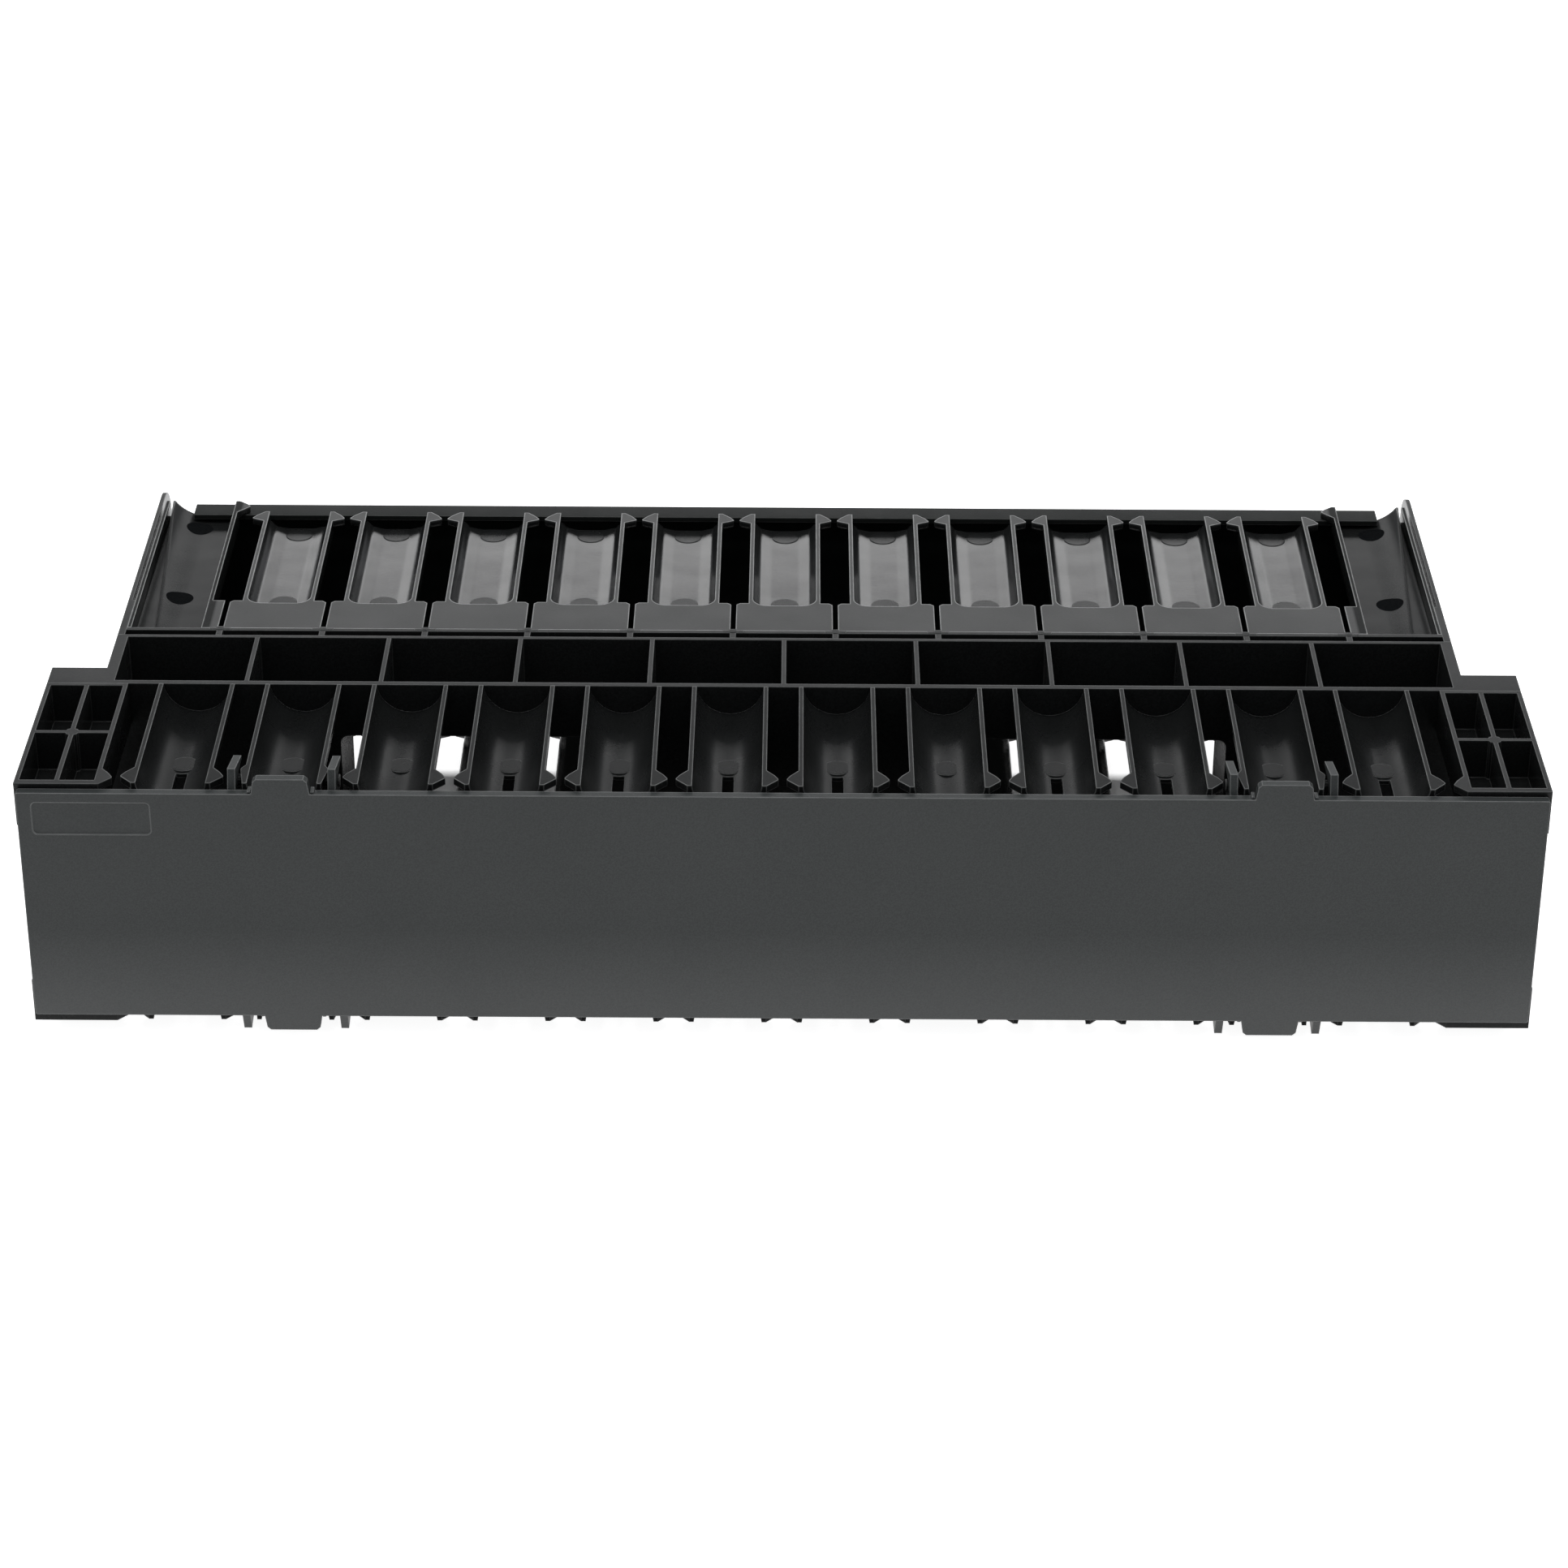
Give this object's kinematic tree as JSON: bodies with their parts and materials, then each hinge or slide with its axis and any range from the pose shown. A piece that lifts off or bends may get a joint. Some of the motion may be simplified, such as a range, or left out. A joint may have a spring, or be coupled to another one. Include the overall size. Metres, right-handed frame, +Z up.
{
  "type": "horizontal cable manager",
  "caption": "Rack cable manager: a hollow beam with half-pipe fingers in front and trough fingers behind, cable pass-throughs, a hinged front cover and a clip-on rear cover.",
  "frame": {"origin": "centre of the rack bolt pattern, on the back faces of the rack flanges", "axes": "+X to the right across the rack, +Y to the back of the rack, +Z up"},
  "size_m": [0.4826, 0.2292, 0.0958],
  "materials": {
    "frame_plastic": "satin black moulded plastic, smoother inside the rear troughs",
    "cover_plastic": "fine-grained satin dark grey moulded plastic"
  },
  "bodies": {
    "frame": {"centre_beam": "frame_plastic", "end_block_top_left": "frame_plastic", "end_block_top_right": "frame_plastic", "end_block_bottom_left": "frame_plastic", "end_block_bottom_right": "frame_plastic", "front_fingers_top": "frame_plastic", "front_fingers_bottom": "frame_plastic", "rear_strip_top": "frame_plastic", "rear_strip_bottom": "frame_plastic", "rear_fingers_top": "frame_plastic", "rear_fingers_bottom": "frame_plastic", "side_plate_left": "frame_plastic", "side_plate_right": "frame_plastic", "rear_cover": "cover_plastic"},
    "cover": {"front_cover": "cover_plastic"}
  },
  "joints": [
    {"name": "front_cover_hinge", "type": "hinge", "parent": "frame", "child": "cover", "pos_m": [0, -0.0708, 0.04065], "axis": [-1, 0, 0], "range_deg": [0, 120]}
  ]
}
